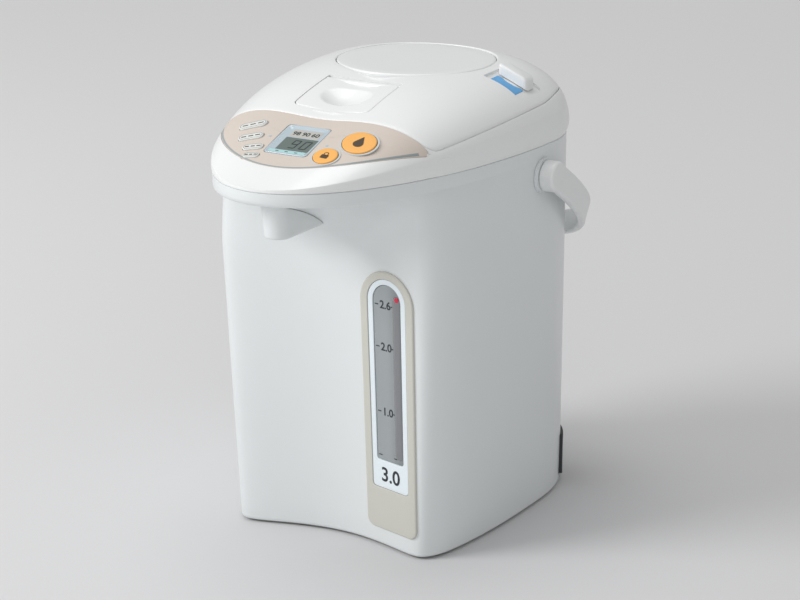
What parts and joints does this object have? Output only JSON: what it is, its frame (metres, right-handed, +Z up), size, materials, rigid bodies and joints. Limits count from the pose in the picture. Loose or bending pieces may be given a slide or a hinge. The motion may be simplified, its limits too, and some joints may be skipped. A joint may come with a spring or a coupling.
{
  "type": "electric thermo pot",
  "caption": "Electric thermo pot with push plate lid, carrying bail, front level gauge, spout under an overhanging head and a slanted control panel.",
  "frame": {"origin": "centre of the bounding box in plan, on the surface the pot stands on", "axes": "+Z up, -Y to the front where the spout is, +X to the right as seen from the front"},
  "size_m": [0.22, 0.32, 0.3111],
  "materials": {
    "body_shell": "cool white, semi-gloss",
    "gauge_frame": "warm grey, satin",
    "scale_plate": "white, satin",
    "gauge_window": "smoked clear",
    "level_tube": "clear tube",
    "spout_nozzle": "white, semi-gloss",
    "spout_pipe": "translucent silicone",
    "handle_boss_right": "white, semi-gloss",
    "handle_boss_left": "white, semi-gloss",
    "shoulder_frame": "warm white, semi-gloss",
    "control_panel": "beige film, satin",
    "screen_lens": "clear with pale blue border",
    "lcd_module": "grey-green display",
    "control_board": "green laminate",
    "inner_vessel": "drawn stainless steel",
    "insulation_sleeve": "grey foam sheet",
    "heater_ring": "dull steel",
    "bottom_cover": "off-white, satin",
    "foot_front_right": "dark grey",
    "foot_front_left": "dark grey",
    "foot_rear_right": "dark grey",
    "foot_rear_left": "dark grey",
    "pump_motor": "dull steel",
    "pump_housing": "off-white",
    "outlet_pipe": "grey silicone",
    "power_board": "green laminate",
    "inlet_socket": "black, fine grain",
    "inlet_pin_left": "bright",
    "inlet_pin_right": "bright",
    "lid_hinge_pin": "bright",
    "lid_shell": "warm white, semi-gloss",
    "lid_inner": "white, satin",
    "lid_gasket": "grey silicone",
    "lever_pin": "bright",
    "pump_bellows": "grey silicone",
    "plate_spring": "bright wire",
    "lid_lever": "warm white, semi-gloss",
    "lid_latch": "white, satin",
    "pump_plate": "warm white, semi-gloss",
    "lock_slider": "white, semi-gloss",
    "handle_bail": "white, semi-gloss",
    "pump_impeller": "black",
    "dispense_button": "orange, satin",
    "unlock_button": "orange, satin",
    "key_boil": "pale grey, satin",
    "key_keep_warm": "pale grey, satin",
    "key_timer": "pale grey, satin",
    "key_light": "pale grey, satin"
  },
  "bodies": {
    "base": {"body_shell": "body_shell", "gauge_frame": "gauge_frame", "scale_plate": "scale_plate", "gauge_window": "gauge_window", "level_tube": "level_tube", "spout_nozzle": "spout_nozzle", "spout_pipe": "spout_pipe", "handle_boss_right": "handle_boss_right", "handle_boss_left": "handle_boss_left", "shoulder_frame": "shoulder_frame", "control_panel": "control_panel", "screen_lens": "screen_lens", "lcd_module": "lcd_module", "control_board": "control_board", "inner_vessel": "inner_vessel", "insulation_sleeve": "insulation_sleeve", "heater_ring": "heater_ring", "bottom_cover": "bottom_cover", "foot_front_right": "foot_front_right", "foot_front_left": "foot_front_left", "foot_rear_right": "foot_rear_right", "foot_rear_left": "foot_rear_left", "pump_motor": "pump_motor", "pump_housing": "pump_housing", "outlet_pipe": "outlet_pipe", "power_board": "power_board", "inlet_socket": "inlet_socket", "inlet_pin_left": "inlet_pin_left", "inlet_pin_right": "inlet_pin_right", "lid_hinge_pin": "lid_hinge_pin"},
    "lid": {"lid_shell": "lid_shell", "lid_inner": "lid_inner", "lid_gasket": "lid_gasket", "lever_pin": "lever_pin", "pump_bellows": "pump_bellows", "plate_spring": "plate_spring"},
    "lever": {"lid_lever": "lid_lever"},
    "latch": {"lid_latch": "lid_latch"},
    "plate": {"pump_plate": "pump_plate"},
    "slider": {"lock_slider": "lock_slider"},
    "bail": {"handle_bail": "handle_bail"},
    "impeller": {"pump_impeller": "pump_impeller"},
    "dispense_button_body": {"dispense_button": "dispense_button"},
    "unlock_button_body": {"unlock_button": "unlock_button"},
    "key_boil_body": {"key_boil": "key_boil"},
    "key_keep_warm_body": {"key_keep_warm": "key_keep_warm"},
    "key_timer_body": {"key_timer": "key_timer"},
    "key_light_body": {"key_light": "key_light"}
  },
  "joints": [
    {"name": "lid_hinge", "type": "hinge", "parent": "base", "child": "lid", "pos_m": [0, 0.12992, 0.287], "axis": [-1, 0, 0], "range_deg": [0, 95]},
    {"name": "lever_hinge", "type": "hinge", "parent": "lid", "child": "lever", "pos_m": [0, -0.02608, 0.30346], "axis": [-1, 0, 0], "range_deg": [0, 24], "stiffness_Nm_per_rad": 0.05, "springref_deg": -17.19},
    {"name": "latch_slide", "type": "slide", "parent": "lid", "child": "latch", "axis": [0, 1, 0], "range_m": [0, 0.003]},
    {"name": "plate_slide", "type": "slide", "parent": "lid", "child": "plate", "axis": [0, 0, -1], "range_m": [0, 0.015], "stiffness_N_per_m": 250, "springref_m": -0.008, "deforming": ["pump_bellows", "plate_spring"]},
    {"name": "lock_slide", "type": "slide", "parent": "lid", "child": "slider", "axis": [0, -0.9992, -0.0391], "range_m": [0, 0.0085]},
    {"name": "bail_hinge", "type": "hinge", "parent": "base", "child": "bail", "pos_m": [0, 0.04192, 0.241], "axis": [1, 0, 0], "range_deg": [0, 122]},
    {"name": "impeller_spin", "type": "hinge", "parent": "base", "child": "impeller", "pos_m": [0.02, -0.01308, 0.031], "axis": [0, 0, 1], "continuous": true},
    {"name": "dispense_press", "type": "slide", "parent": "base", "child": "dispense_button_body", "axis": [-0.1412, 0.3707, -0.918], "range_m": [0, 0.0008], "stiffness_N_per_m": 900, "springref_m": -0.0006},
    {"name": "unlock_press", "type": "slide", "parent": "base", "child": "unlock_button_body", "axis": [-0.0468, 0.3771, -0.925], "range_m": [0, 0.0008], "stiffness_N_per_m": 900, "springref_m": -0.0006},
    {"name": "boil_press", "type": "slide", "parent": "base", "child": "key_boil_body", "axis": [0.1093, 0.3607, -0.9263], "range_m": [0, 0.0008], "stiffness_N_per_m": 700, "springref_m": -0.0006},
    {"name": "keep_warm_press", "type": "slide", "parent": "base", "child": "key_keep_warm_body", "axis": [0.0681, 0.3743, -0.9248], "range_m": [0, 0.0008], "stiffness_N_per_m": 700, "springref_m": -0.0006},
    {"name": "timer_press", "type": "slide", "parent": "base", "child": "key_timer_body", "axis": [0.0293, 0.372, -0.9278], "range_m": [0, 0.0008], "stiffness_N_per_m": 700, "springref_m": -0.0006},
    {"name": "light_press", "type": "slide", "parent": "base", "child": "key_light_body", "axis": [0.0288, 0.373, -0.9274], "range_m": [0, 0.0008], "stiffness_N_per_m": 700, "springref_m": -0.0006}
  ],
  "couplings": [
    {"joint": "latch_slide", "follows": "lever_hinge", "m_per_rad": 0.0068}
  ]
}
